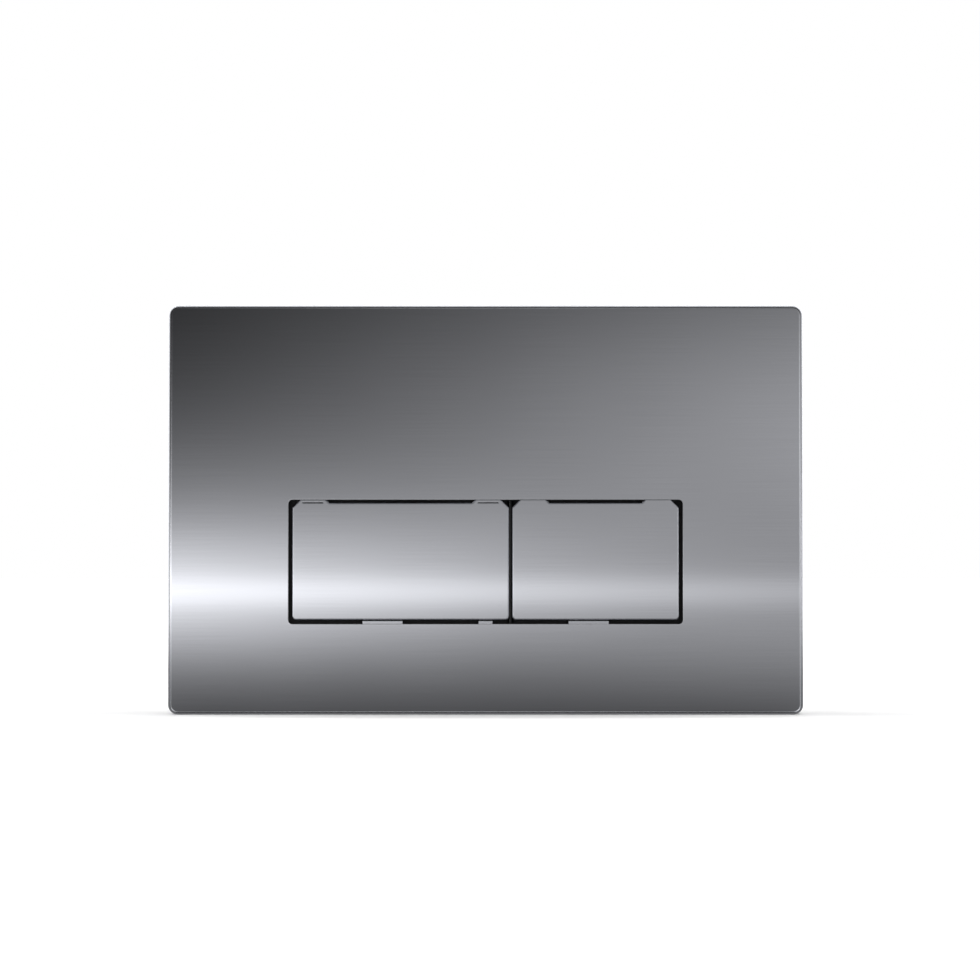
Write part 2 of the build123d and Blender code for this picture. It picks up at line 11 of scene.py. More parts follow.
import bmesh
import bpy
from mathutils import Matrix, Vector


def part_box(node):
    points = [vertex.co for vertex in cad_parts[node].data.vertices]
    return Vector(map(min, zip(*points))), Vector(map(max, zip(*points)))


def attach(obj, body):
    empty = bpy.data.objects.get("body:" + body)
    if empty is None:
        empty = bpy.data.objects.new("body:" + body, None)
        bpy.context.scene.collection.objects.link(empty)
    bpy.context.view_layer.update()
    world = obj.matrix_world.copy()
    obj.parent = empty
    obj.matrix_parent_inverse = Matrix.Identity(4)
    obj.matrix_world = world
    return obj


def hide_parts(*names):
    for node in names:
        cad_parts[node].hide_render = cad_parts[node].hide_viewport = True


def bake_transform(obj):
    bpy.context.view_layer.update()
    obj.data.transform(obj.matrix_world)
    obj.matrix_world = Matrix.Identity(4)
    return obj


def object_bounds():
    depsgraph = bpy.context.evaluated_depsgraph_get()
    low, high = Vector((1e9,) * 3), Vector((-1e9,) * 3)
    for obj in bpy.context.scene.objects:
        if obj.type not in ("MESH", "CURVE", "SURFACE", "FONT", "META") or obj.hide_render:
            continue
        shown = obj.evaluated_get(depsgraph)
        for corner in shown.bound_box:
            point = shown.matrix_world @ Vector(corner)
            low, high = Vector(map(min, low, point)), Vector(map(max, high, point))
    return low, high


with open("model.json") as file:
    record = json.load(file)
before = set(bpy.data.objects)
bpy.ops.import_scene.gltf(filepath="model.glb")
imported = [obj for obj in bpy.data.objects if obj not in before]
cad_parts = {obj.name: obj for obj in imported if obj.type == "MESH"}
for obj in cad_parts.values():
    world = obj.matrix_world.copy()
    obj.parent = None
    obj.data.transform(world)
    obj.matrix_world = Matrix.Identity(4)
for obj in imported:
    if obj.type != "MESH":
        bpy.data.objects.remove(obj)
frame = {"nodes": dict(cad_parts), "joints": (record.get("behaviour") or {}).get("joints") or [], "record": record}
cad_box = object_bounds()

MM = 0.001
nodes = frame["nodes"]
record = frame["record"]
print(len(nodes), "CAD nodes, box", [[round(v / MM, 1) for v in corner] for corner in cad_box])

# %% [markdown]
# Effects that several finishes share are node groups, built once. A group has named inputs and outputs,
# which Blender 4.5 makes on the group's interface. Each group here puts out values from about 0 to 1, and
# every finish decides for itself what such a value does to its colour, roughness or bump.

# %% Helpers for node groups
def new_group(name, inputs, outputs):
    """A shader node group with float sockets; gives the group, its input node and its output node."""
    group = bpy.data.node_groups.new(name, "ShaderNodeTree")
    for socket, value in inputs.items():
        made = group.interface.new_socket(socket, in_out="INPUT", socket_type="NodeSocketFloat")
        made.default_value = value
    for socket in outputs:
        group.interface.new_socket(socket, in_out="OUTPUT", socket_type="NodeSocketFloat")
    return group, group.nodes.new("NodeGroupInput"), group.nodes.new("NodeGroupOutput")


def math_node(tree, operation, *values):
    """A Math node whose inputs are numbers or sockets; gives its output."""
    node = tree.nodes.new("ShaderNodeMath")
    node.operation = operation
    for socket, value in zip(node.inputs, values):
        if isinstance(value, bpy.types.NodeSocket):
            tree.links.new(value, socket)
        else:
            socket.default_value = value
    return node.outputs[0]


print("helpers new_group, math_node")

# %% [markdown]
# Both effects below are noise, a cloudy value that depends on the position alone. A noise texture has one
# size for all axes, so the position is first divided by a cell size for each axis, which can stretch the
# pattern. The position is the Object coordinate. Finished pieces all sit at the origin, so neighbours
# share it, and a pattern runs on from one piece to the next.

# %% Helpers for noise
def noise_at(tree, vector, detail, rough):
    """A 3-D noise texture on a scaled position; gives its value."""
    noise = tree.nodes.new("ShaderNodeTexNoise")
    noise.inputs["Scale"].default_value = 1.0
    noise.inputs["Detail"].default_value = detail
    noise.inputs["Roughness"].default_value = rough
    tree.links.new(vector, noise.inputs["Vector"])
    return noise.outputs["Fac"]


def cell_position(tree, source, sizes):
    """Object position divided by a cell size for each axis, given as input socket names."""
    place = tree.nodes.new("ShaderNodeTexCoord")
    size = tree.nodes.new("ShaderNodeCombineXYZ")
    for axis, socket in zip(size.inputs, sizes):
        tree.links.new(source.outputs[socket], axis)
    divide = tree.nodes.new("ShaderNodeVectorMath")
    divide.operation = "DIVIDE"
    tree.links.new(place.outputs["Object"], divide.inputs[0])
    tree.links.new(size.outputs[0], divide.inputs[1])
    return divide.outputs[0]


print("helpers noise_at, cell_position")

# %% [markdown]
# Brushed steel is drawn under an abrasive belt, which leaves long scratches that all run one way, here
# along the plate. A photo of steel would do, but noise that is stretched a few hundred times along X
# gives the same streaks at any zoom. Two layers are mixed: hair-fine lines, and wider clouds where the
# belt pressed harder.

# %% Brush grain
brush_grain, source, result = new_group(
    "brush_grain", {"Line Length": 40 * MM, "Line Width": 0.25 * MM}, ["Lines"]
)
line_cells = cell_position(brush_grain, source, ["Line Length", "Line Width", "Line Width"])
fine = noise_at(brush_grain, line_cells, detail=3, rough=0.6)
cloud_cells = cell_position(brush_grain, source, ["Line Length"] * 3)
broad = noise_at(brush_grain, cloud_cells, detail=1, rough=0.4)
broad_share = 0.35
uneven = math_node(brush_grain, "MULTIPLY_ADD", broad, broad_share, -broad_share / 2)
brush_grain.links.new(math_node(brush_grain, "ADD", fine, uneven), result.inputs["Lines"])
print("group", brush_grain.name, "with", len(brush_grain.nodes), "nodes")

# %% [markdown]
# Moulded plastic copies the eroded skin of its mould: a fine even grain of a few tenths of a millimetre.
# Plating and rubber are cloudy at a scale of some millimetres. Both are the same noise at another size,
# so one group serves all of them.

# %% Skin grain
skin_grain, source, result = new_group(
    "skin_grain", {"Grain Size": 0.3 * MM, "Cloud Size": 6 * MM}, ["Grain", "Cloud"]
)
for output, detail in (("Grain", 2), ("Cloud", 4)):
    skin_cells = cell_position(skin_grain, source, [f"{output} Size"] * 3)
    skin_grain.links.new(noise_at(skin_grain, skin_cells, detail, rough=0.55), result.inputs[output])
print("group", skin_grain.name, "with", len(skin_grain.nodes), "nodes")

# %% [markdown]
# A finish starts from the Principled shader. What stays the same all over the piece is set on the
# shader's own sockets. What changes over the surface comes from a group: a value between 0 and 1 is
# spread between two colours, between two roughnesses, and into the height of a bump.

# %% Helpers for finishes
def new_finish(name, metallic):
    """A material; gives it, its node tree and its Principled shader."""
    finish = bpy.data.materials.new(name)
    finish.use_nodes = True
    shader = finish.node_tree.nodes["Principled BSDF"]
    shader.inputs["Metallic"].default_value = metallic
    return finish, finish.node_tree, shader


def place_group(tree, group, **sizes):
    """A group in a material's tree, with its sizes set."""
    node = tree.nodes.new("ShaderNodeGroup")
    node.node_tree = group
    for socket, size in sizes.items():
        node.inputs[socket.replace("_", " ").title()].default_value = size
    return node


def spread_colour(tree, value, shader, dark, light):
    """Let a value choose between two base colours."""
    mix = tree.nodes.new("ShaderNodeMix")
    mix.data_type = "RGBA"
    tree.links.new(value, mix.inputs["Factor"])
    mix.inputs["A"].default_value = (*dark, 1)
    mix.inputs["B"].default_value = (*light, 1)
    tree.links.new(mix.outputs["Result"], shader.inputs["Base Color"])


def spread_roughness(tree, value, shader, smooth, rough):
    """Let a value choose between two roughnesses."""
    span = tree.nodes.new("ShaderNodeMapRange")
    tree.links.new(value, span.inputs["Value"])
    span.inputs["To Min"].default_value = smooth
    span.inputs["To Max"].default_value = rough
    tree.links.new(span.outputs["Result"], shader.inputs["Roughness"])


def raise_bump(tree, value, shader, height, strength):
    """Use a value as the height of a bump; gives the Bump node."""
    bump = tree.nodes.new("ShaderNodeBump")
    bump.inputs["Distance"].default_value = height
    bump.inputs["Strength"].default_value = strength
    tree.links.new(value, bump.inputs["Height"])
    tree.links.new(bump.outputs["Normal"], shader.inputs["Normal"])
    return bump


finishes = {}
print("helpers new_finish, place_group, spread_colour, spread_roughness, raise_bump")

# %% [markdown]
# The front plate and the two button faces are cut from the same brushed sheet, and their lines run on
# from one to the other, because all three read the same Object position. The steel is slightly cool.
# The lines change its colour and roughness a little and tilt it up and down in the bump, so a bright
# reflection smears upwards and downwards and stays crisp sideways, as it does on real brushed steel. A
# pressed sheet has no sharp edge either. The edges could be bevelled in the mesh, but a CAD mesh isn't
# changed, so a Bevel node rounds the normal there, and a thin line along each edge catches the light.

# %% Brushed steel
edge_radius = 0.5 * MM
edge_samples = 6
finishes["brushed_steel"], tree, shader = new_finish("brushed_steel", metallic=1.0)
grain = place_group(tree, brush_grain, line_length=45 * MM, line_width=0.2 * MM)
lines = grain.outputs["Lines"]
spread_colour(tree, lines, shader, dark=(0.540, 0.548, 0.584), light=(0.640, 0.650, 0.692))
spread_roughness(tree, lines, shader, smooth=0.10, rough=0.15)
bump = raise_bump(tree, lines, shader, height=0.003 * MM, strength=0.4)
soft_edge = tree.nodes.new("ShaderNodeBevel")
soft_edge.samples = edge_samples
soft_edge.inputs["Radius"].default_value = edge_radius
tree.links.new(soft_edge.outputs["Normal"], bump.inputs["Normal"])
print("finish brushed_steel")

# %% [markdown]
# All other pieces have a skin from the second group. One helper makes their finishes, and each finish
# brings its own values: the clouds choose its colour, the clouds or the grain choose its shine, and the
# grain is its bump.

# %% Helper for skins
def skin_finish(
    name, metallic, dark, light, smooth, rough, grain_size, grain_height, grain_strength, cloud_size,
    shine="Cloud", gloss=0.5,
):
    """A finish made with the skin group; shine names the output that changes the roughness."""
    finish, tree, shader = new_finish(name, metallic)
    shader.inputs["Specular IOR Level"].default_value = gloss
    skin = place_group(tree, skin_grain, grain_size=grain_size, cloud_size=cloud_size)
    spread_colour(tree, skin.outputs["Cloud"], shader, dark, light)
    spread_roughness(tree, skin.outputs[shine], shader, smooth, rough)
    raise_bump(tree, skin.outputs["Grain"], shader, grain_height, grain_strength)
    finishes[name] = finish
    print("finish", name)


print("helper skin_finish")

# %% [markdown]
# The carrier, the button bodies, the mounting frame and the rod guides are moulded. Their skin has a
# fine grain, with clouds that make some places a little shinier. The caps of the rods are white acetal,
# a smoother plastic that slides well. Rubber is the dullest, with a bloom that greys it in patches.

# %% Plastics and rubber
moulded = {"metallic": 0.0, "grain_strength": 0.6, "cloud_size": 7 * MM}
skin_finish(
    "black_plastic", **moulded, gloss=0.25, grain_size=0.35 * MM, grain_height=0.03 * MM,
    dark=(0.011, 0.011, 0.012), light=(0.021, 0.021, 0.023), smooth=0.42, rough=0.6,
)
skin_finish(
    "grey_plastic", **moulded, gloss=0.5, grain_size=0.35 * MM, grain_height=0.03 * MM,
    dark=(0.50, 0.51, 0.51), light=(0.60, 0.61, 0.60), smooth=0.40, rough=0.58,
)
skin_finish(
    "white_plastic", **moulded, gloss=0.5, grain_size=0.6 * MM, grain_height=0.008 * MM,
    dark=(0.76, 0.76, 0.73), light=(0.84, 0.84, 0.82), smooth=0.24, rough=0.36,
)
skin_finish(
    "rubber", **moulded, gloss=0.4, grain_size=0.2 * MM, grain_height=0.02 * MM,
    dark=(0.018, 0.018, 0.018), light=(0.045, 0.044, 0.043), smooth=0.7, rough=0.9,
)

# %% [markdown]
# Bolts, rods, nuts, pins and screws are zinc plated: a bluish metal with cloudy patches that differ in
# shine. The return springs are rolled strip, greyer and more even, so their shine follows the fine grain.

# %% Zinc plating and spring strip
bare_metal = {"metallic": 1.0, "grain_strength": 0.4}
skin_finish(
    "zinc_steel", **bare_metal, grain_size=0.25 * MM, grain_height=0.006 * MM, cloud_size=2.5 * MM,
    dark=(0.40, 0.42, 0.45), light=(0.64, 0.66, 0.68), shine="Cloud", smooth=0.22, rough=0.40,
)
skin_finish(
    "spring_steel", **bare_metal, grain_size=0.2 * MM, grain_height=0.004 * MM, cloud_size=3 * MM,
    dark=(0.42, 0.42, 0.42), light=(0.60, 0.60, 0.59), shine="Grain", smooth=0.25, rough=0.38,
)

# %% [markdown]
# The record says which finish each CAD node has. A node's mesh is never changed, so only its material
# slot is filled.

# %% Dress the CAD nodes
for subpart in record["subparts"]:
    mesh = nodes[subpart["node"]].data
    mesh.materials.clear()
    mesh.materials.append(finishes[subpart["material_slot"]])
print("dressed", len(record["subparts"]), "nodes")

# %% [markdown]
# Now the pieces that the CAD model leaves plain. Each is modelled with the tools of edit mode. An operator
# acts on all that is selected, so everything is deselected first. These helpers then select by place:
# they look at the middle of each face or edge and keep those that pass a test, as a click in the
# viewport would. A hundredth of a millimetre is near enough to count as the same place.

# %% Helpers for selecting
NEAR = 0.01 * MM


def select_none():
    """Deselect every object."""
    bpy.ops.object.select_all(action="DESELECT")


def make_active(piece):
    """Select one object alone and make it the one that operators act on."""
    select_none()
    piece.select_set(True)
    bpy.context.view_layer.objects.active = piece


def pick(piece, kind, test):
    """In edit mode, select the faces, edges or vertices whose middle passes a test."""
    bpy.ops.mesh.select_mode(type=kind)
    bpy.ops.mesh.select_all(action="DESELECT")
    mesh = bmesh.from_edit_mesh(piece.data)
    parts = {"FACE": mesh.faces, "EDGE": mesh.edges, "VERT": mesh.verts}[kind]
    for part in parts:
        corners = [part.co] if kind == "VERT" else [corner.co for corner in part.verts]
        if test(sum(corners, Vector()) / len(corners)):
            part.select_set(True)
    mesh.select_flush_mode()
    bmesh.update_edit_mesh(piece.data)


print("helpers select_none, make_active, pick")

# %% [markdown]
# Some shapes are easier to cut or to join than to extrude. A Boolean modifier does the cutting. It is
# applied at once, so that the next step works on the real mesh.

# %% Helpers for modifiers, cuts and joins
def apply_modifier(piece, kind, **settings):
    """Add a modifier with some settings and apply it at once."""
    make_active(piece)
    bpy.ops.object.modifier_add(type=kind)
    modifier = piece.modifiers[-1]
    for setting, value in settings.items():
        setattr(modifier, setting, value)
    bpy.ops.object.modifier_apply(modifier=modifier.name)


def cut(piece, tool, operation):
    """Cut a piece with a tool, which is used up."""
    apply_modifier(piece, "BOOLEAN", object=tool, operation=operation, solver="EXACT")
    bpy.data.objects.remove(tool)


def join(piece, *others):
    """Make several objects one piece."""
    make_active(piece)
    for other in others:
        other.select_set(True)
    bpy.ops.object.join()
    return piece


print("helpers apply_modifier, cut, join")

# %% [markdown]
# Fasteners are modelled upright along Z at the world's origin, where sizes are easy to read, and are then
# laid along Y at their places. Each copy has its own mesh, and its turn and move are applied to that
# mesh, so the finished object sits at the origin, as the CAD nodes do. Pairs share one CAD node, so the
# two copies are joined.

# %% Helpers for placing
smooth_angle = radians(35)


def dress(piece, finish):
    """Give a new piece its finish, and name its mesh after the piece."""
    piece.data.name = piece.name
    piece.data.materials.clear()
    piece.data.materials.append(finishes[finish])


def put(piece, name, place, way, finish):
    """A copy of a piece modelled along Z, laid along Y; way is 1 into the wall and -1 out of it."""
    select_none()
    copy = piece.copy()
    copy.data = piece.data.copy()
    bpy.context.scene.collection.objects.link(copy)
    copy.name = name
    copy.rotation_euler = (-way * pi / 2, 0, 0)
    copy.location = place
    make_active(copy)
    bpy.ops.object.transform_apply(location=True, rotation=True, scale=True)
    bpy.ops.object.shade_smooth_by_angle(angle=smooth_angle)
    dress(copy, finish)
    return copy


def put_pair(piece, name, ends, seat, way, node):
    """Two copies of a fastener, joined as one piece that takes the place of a CAD node of the plate."""
    pair = [put(piece, f"{name}_{number}", (x, *seat), way, "zinc_steel") for number, x in enumerate(ends)]
    bpy.data.objects.remove(piece)
    pair = join(*pair)
    pair.name = pair.data.name = name
    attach(pair, "plate")
    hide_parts(node)
    print(name, len(pair.data.polygons), "faces")


print("helpers dress, put, put_pair")

# %% [markdown]
# A screw thread is a triangle that climbs around an axis. It could be a bump, but a silhouette with
# real crests looks right from close by. The triangle is a circle primitive with three corners, which is
# the form of a metric thread. Its inner side is deleted, the Screw modifier winds the other two sides
# up, and two cuts with Bisect close the ends. The last turn is drawn in a little, as a lead for the nut.

# %% Helper for threads
turn_steps = 24
spare_turns = 3
weld = 0.001 * MM
lead_turns = 0.8
lead_taper = 0.84


def thread(radius, pitch, start, end):
    """A threaded stem along Z from start to end, closed at both ends and tapered at the far one."""
    select_none()
    corner_radius = pitch / sqrt(3)
    bpy.ops.mesh.primitive_circle_add(
        vertices=3,
        radius=corner_radius,
        location=(radius - corner_radius, 0, start - pitch),
        rotation=(pi / 2, pi / 2, 0),
    )
    stem = bpy.context.object
    bpy.ops.object.transform_apply(location=True, rotation=True, scale=True)
    bpy.ops.object.mode_set(mode="EDIT")
    tooth_depth = 1.5 * corner_radius
    pick(stem, "EDGE", lambda middle: middle.x < radius - tooth_depth + NEAR)
    bpy.ops.mesh.delete(type="EDGE")
    bpy.ops.object.mode_set(mode="OBJECT")
    apply_modifier(
        stem, "SCREW", axis="Z", angle=2 * pi, screw_offset=pitch,
        iterations=int((end - start) / pitch) + spare_turns, steps=turn_steps, render_steps=turn_steps,
    )
    bpy.ops.object.mode_set(mode="EDIT")
    bpy.ops.mesh.select_all(action="SELECT")
    bpy.ops.mesh.remove_doubles(threshold=weld)
    for height, way in ((start, -1), (end, 1)):
        bpy.ops.mesh.select_all(action="SELECT")
        bpy.ops.mesh.bisect(
            plane_co=(0, 0, height), plane_no=(0, 0, way), use_fill=True, clear_outer=True, threshold=weld
        )
    pick(stem, "VERT", lambda place: place.z > end - lead_turns * pitch)
    bpy.ops.transform.resize(value=(lead_taper, lead_taper, 1), center_override=(0, 0, end))
    bpy.ops.mesh.select_all(action="SELECT")
    bpy.ops.mesh.normals_make_consistent(inside=False)
    bpy.ops.object.mode_set(mode="OBJECT")
    return stem


print("helper thread")

# %% [markdown]
# The fixing bolts hold the mounting frame to the wall. Each has a hexagon head on a round flange, a
# plain shoulder in the frame's slot and a long thread. The seat under the flange is at height 0, with the
# head below it and the thread above. Flange and shoulder could be two cylinders. Here they are one, whose
# seat face is inset and extruded as far as the wall, so that no hidden face is left between them.

# %% Flange and shoulder of a bolt
bolt_low, bolt_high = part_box("fixing_bolts")
shoulder_radius = 3.35 * MM
flange_radius = 6.5 * MM
flange_height = 1.2 * MM
flange_bevel = 0.5 * MM
hex_height = 2.0 * MM
round_sides = 48
seat_y = bolt_low.y + hex_height + flange_height
shoulder_length = -seat_y

select_none()
bpy.ops.mesh.primitive_cylinder_add(
    vertices=round_sides, radius=flange_radius, depth=flange_height, location=(0, 0, -flange_height / 2)
)
bolt = bpy.context.object
bpy.ops.object.transform_apply(location=True, rotation=True, scale=True)
bpy.ops.object.mode_set(mode="EDIT")
pick(bolt, "FACE", lambda middle: middle.z > -NEAR)
bpy.ops.mesh.inset(thickness=flange_radius - shoulder_radius)
bpy.ops.mesh.extrude_region_move(TRANSFORM_OT_translate={"value": (0, 0, shoulder_length)})
pick(bolt, "EDGE", lambda middle: middle.z < -flange_height + NEAR)
bpy.ops.mesh.bevel(offset=flange_bevel, segments=3)
bpy.ops.object.mode_set(mode="OBJECT")
print("shoulder", round(shoulder_length / MM, 2), "mm long")

# %% [markdown]
# A real hexagon head gets its curved chamfer on a lathe. A bevel would cut its corners straight, so a wide
# cone cuts it here: what lies inside both the hexagon and the cone is kept. The thread starts a little
# inside the shoulder, and the three parts are joined.

# %% Fixing bolts
bolt_radius = 3.0 * MM
bolt_pitch = 1.0 * MM
thread_overlap = 0.5 * MM
hex_size = 10.0 * MM
hex_turn = radians(30)
crown_inset = 0.3 * MM
crown_radius = hex_size / 2 - crown_inset
cone_flare = 2
cone_overlap = 0.2 * MM
cone_height = hex_height + cone_overlap
head_z = -flange_height - hex_height
bolt_x = bolt_high.x - flange_radius

select_none()
bpy.ops.mesh.primitive_cylinder_add(
    vertices=6,
    radius=hex_size / sqrt(3),
    depth=hex_height,
    location=(0, 0, head_z + hex_height / 2),
    rotation=(0, 0, hex_turn),
)
hexagon = bpy.context.object
bpy.ops.mesh.primitive_cone_add(
    vertices=round_sides,
    radius1=crown_radius,
    radius2=crown_radius + cone_flare * cone_height,
    depth=cone_height,
    location=(0, 0, head_z + cone_height / 2),
)
cut(hexagon, bpy.context.object, "INTERSECT")
stem = thread(bolt_radius, bolt_pitch, start=shoulder_length - thread_overlap, end=bolt_high.y - seat_y)
join(bolt, hexagon, stem)
put_pair(bolt, "threaded_fixing_bolts", (-bolt_x, bolt_x), (seat_y, 0), 1, "fixing_bolts")

# %% [markdown]
# The push rods carry a press on the button to the flush valve. They are threaded along their whole
# length, so that a fitter can screw them in or out of their caps and set the reach. Their front ends
# stay inside the caps.

# %% Push rods
rod_radius = 3.0 * MM
rod_pitch = 1.0 * MM
for name in ("full_flush", "half_flush"):
    low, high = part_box(f"{name}_rod")
    stem = thread(rod_radius, rod_pitch, start=0, end=high.y - low.y)
    front_end = ((low.x + high.x) / 2, low.y, (low.z + high.z) / 2)
    rod = put(stem, f"{name}_threaded_rod", front_end, 1, "zinc_steel")
    bpy.data.objects.remove(stem)
    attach(rod, f"{name}_push_rod")
    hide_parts(f"{name}_rod")
    print(rod.name, len(rod.data.polygons), "faces")

# %% [markdown]
# One small screw clamps each spring to the carrier, and one holds each rod guide to the frame. Both have
# a pan head with a cross recess, in two sizes, so a helper models them. The head is a cylinder with a
# wide bevel around its outer face. A tapered box, used twice at right angles, cuts the recess. The sizes
# of bevel and recess are shares of the head's height and radius, because a larger screw takes a larger
# driver.

# %% Helper for pan-head screws
head_sides = 40
head_bevel = 0.55
recess_length = 1.1
recess_width = 0.27
recess_depth = 0.6
recess_taper = 0.5
stem_overlap = 0.2


def pan_screw(head_radius, head_height, stem_radius, pitch, length):
    """A pan-head screw along Z, with its head below height 0 and its thread above."""
    select_none()
    bpy.ops.mesh.primitive_cylinder_add(
        vertices=head_sides, radius=head_radius, depth=head_height, location=(0, 0, -head_height / 2)
    )
    screw = bpy.context.object
    bpy.ops.object.transform_apply(location=True, rotation=True, scale=True)
    bpy.ops.object.mode_set(mode="EDIT")
    pick(screw, "EDGE", lambda middle: middle.z < -head_height + NEAR)
    bpy.ops.mesh.bevel(offset=head_bevel * head_height, segments=5)
    bpy.ops.object.mode_set(mode="OBJECT")
    for turn in (0, pi / 2):
        select_none()
        bpy.ops.mesh.primitive_cube_add(size=1, location=(0, 0, -head_height), rotation=(0, 0, turn))
        box = bpy.context.object
        box.scale = (recess_length * head_radius, recess_width * head_radius, 2 * recess_depth * head_height)
        bpy.ops.object.transform_apply(location=True, rotation=True, scale=True)
        bpy.ops.object.mode_set(mode="EDIT")
        pick(box, "VERT", lambda place: place.z > -head_height)
        bpy.ops.transform.resize(
            value=(recess_taper, recess_taper, 1), center_override=(0, 0, -head_height)
        )
        bpy.ops.object.mode_set(mode="OBJECT")
        cut(screw, box, "DIFFERENCE")
    return join(screw, thread(stem_radius, pitch, -stem_overlap * head_height, length))


print("helper pan_screw")

# %% [markdown]
# The screws of the springs go in from behind, so they point out of the wall. Those of the guides go in
# from the front. Their CAD nodes give their places, their lengths and the radius of their heads. The
# threads are 3 mm and 2.5 mm thick, and coarser than a machine screw's, as they are on screws for plastic.

# %% Screws of the springs and the rod guides
screw_sizes = {
    "spring_screws": {"head_height": 1.7 * MM, "stem_radius": 1.5 * MM, "pitch": 0.7 * MM},
    "guide_screws": {"head_height": 1.0 * MM, "stem_radius": 1.25 * MM, "pitch": 0.6 * MM},
}
for node, sizes in screw_sizes.items():
    low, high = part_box(node)
    head_radius = (high.z - low.z) / 2
    head_height = sizes["head_height"]
    screw = pan_screw(head_radius, **sizes, length=high.y - low.y - head_height)
    ends = (low.x + head_radius, high.x - head_radius)
    if node == "spring_screws":
        way = -1
        head_y = high.y - head_height
    else:
        way = 1
        head_y = low.y + head_height
    put_pair(screw, f"pan_head_{node}", ends, (head_y, (low.z + high.z) / 2), way, node)

# %% [markdown]
# Each return spring is a strip of spring steel that is screwed to the carrier above and leans against
# the back of its button below. A curve with a width would do, but a strip is easy to fold by hand: it
# starts as a plane, whose lower edge is extruded from bend to bend. Bevels round the bends, and
# subdividing the long sides gives the strip joints to bend at.

# %% Helper for spring strips
bend_radius = 2.5 * MM
tip = 3.0 * MM
tip_angle = pi / 4
strip_cuts = 5


def bent_strip(middle_x, width, top_z, strip_y, bend_z, touch_y, touch_z):
    """A spring as a bare sheet: upright, then leaning to where it touches the button, with a turned tip."""
    select_none()
    bpy.ops.mesh.primitive_plane_add(
        size=1, location=(middle_x, strip_y, (top_z + bend_z) / 2), rotation=(pi / 2, 0, 0)
    )
    strip = bpy.context.object
    strip.scale = (width, top_z - bend_z, 1)
    bpy.ops.object.transform_apply(location=True, rotation=True, scale=True)
    bpy.ops.object.mode_set(mode="EDIT")
    pick(strip, "EDGE", lambda middle: middle.z < bend_z + NEAR)
    bpy.ops.mesh.extrude_region_move(
        TRANSFORM_OT_translate={"value": (0, touch_y - strip_y, touch_z - bend_z)}
    )
    bpy.ops.mesh.extrude_region_move(TRANSFORM_OT_translate={"value": (0, tip * tan(tip_angle), -tip)})
    lean = (strip_y - touch_y) / (bend_z - touch_z)
    pick(strip, "EDGE", lambda middle: abs(middle.z - touch_z) < NEAR)
    bpy.ops.mesh.bevel(offset=bend_radius * tan((lean + tip_angle) / 2), segments=6)
    pick(strip, "EDGE", lambda middle: abs(middle.z - bend_z) < NEAR)
    bpy.ops.mesh.bevel(offset=bend_radius * lean / 2, segments=3)
    pick(strip, "EDGE", lambda middle: abs(middle.x - middle_x) > width / 2 - NEAR)
    bpy.ops.mesh.subdivide(number_cuts=strip_cuts)
    bpy.ops.object.mode_set(mode="OBJECT")
    return strip


print("helper bent_strip")

# %% [markdown]
# The joints of the record say which spring bends with which button, and where its screw is. Solidify makes
# the strip half a millimetre thick, and a cylinder cuts the hole for the screw. When the button is
# pressed, the spring's lower end goes back with the button while its upper end stays on the carrier.

# %% Return springs
spring_thickness = 0.5 * MM
spring_hole_radius = 1.55 * MM
hole_sides = 32
bend_rise = 3.2 * MM
touch_back = 2.55 * MM
touch_drop = 20.0 * MM
spring_smooth_angle = radians(30)
for joint in frame["joints"]:
    if not joint.get("deforming_nodes"):
        continue
    name = joint["deforming_nodes"][0]["node"]
    screw_z = joint["deforming_nodes"][0]["fixed_end_z_m"]
    hinge_y, hinge_z = joint["pos_m"][1:]
    low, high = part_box(name)
    middle_x = (low.x + high.x) / 2
    strip_y = high.y - spring_thickness / 2
    touch_y = hinge_y + touch_back
    touch_z = hinge_z - touch_drop
    spring = bent_strip(middle_x, high.x - low.x, high.z, strip_y, hinge_z + bend_rise, touch_y, touch_z)
    apply_modifier(spring, "SOLIDIFY", thickness=spring_thickness, offset=0)
    select_none()
    bpy.ops.mesh.primitive_cylinder_add(
        vertices=hole_sides,
        radius=spring_hole_radius,
        depth=4 * spring_thickness,
        location=(middle_x, strip_y, screw_z),
        rotation=(pi / 2, 0, 0),
    )
    cut(spring, bpy.context.object, "DIFFERENCE")
    make_active(spring)
    bpy.ops.object.shade_smooth_by_angle(angle=spring_smooth_angle)
    spring.name = name.replace("return_spring", "bending_spring")
    dress(spring, "spring_steel")
    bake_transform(spring)
    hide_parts(name)
    print(spring.name, len(spring.data.polygons), "faces")

# %% [markdown]
# Now the studio. Three of its surfaces have a soft round patch that is brighter or darker than the rest.
# A Gradient texture could draw one, but its edge shows. A falloff of exp(-d*d) has no edge, and a Mapping
# node moves it to its place and stretches it.

# %% Helper for soft spots
def soft_spot(tree, place, size):
    """A round falloff exp(-d*d) about a place in Object coordinates; gives its value."""
    here = tree.nodes.new("ShaderNodeTexCoord")
    aim = tree.nodes.new("ShaderNodeMapping")
    aim.vector_type = "TEXTURE"
    aim.inputs["Location"].default_value = place
    aim.inputs["Scale"].default_value = size
    tree.links.new(here.outputs["Object"], aim.inputs["Vector"])
    square = tree.nodes.new("ShaderNodeVectorMath")
    square.operation = "DOT_PRODUCT"
    tree.links.new(aim.outputs["Vector"], square.inputs[0])
    tree.links.new(aim.outputs["Vector"], square.inputs[1])
    return math_node(tree, "EXPONENT", math_node(tree, "MULTIPLY", square.outputs["Value"], -1.0))


print("helper soft_spot")

# %% [markdown]
# The plate stands on a white floor that runs into a white background without an edge. Far from the plate
# the floor glows for the camera, so that it stays white. The glow dips in a narrow strip along the plate,
# where lamps light the floor and the plate's soft shadow shows.

# %% Floor
floor_z = cad_box[0][2]
floor_size = 8
dip = 0.94
dip_width = 0.4
dip_depth = 0.06

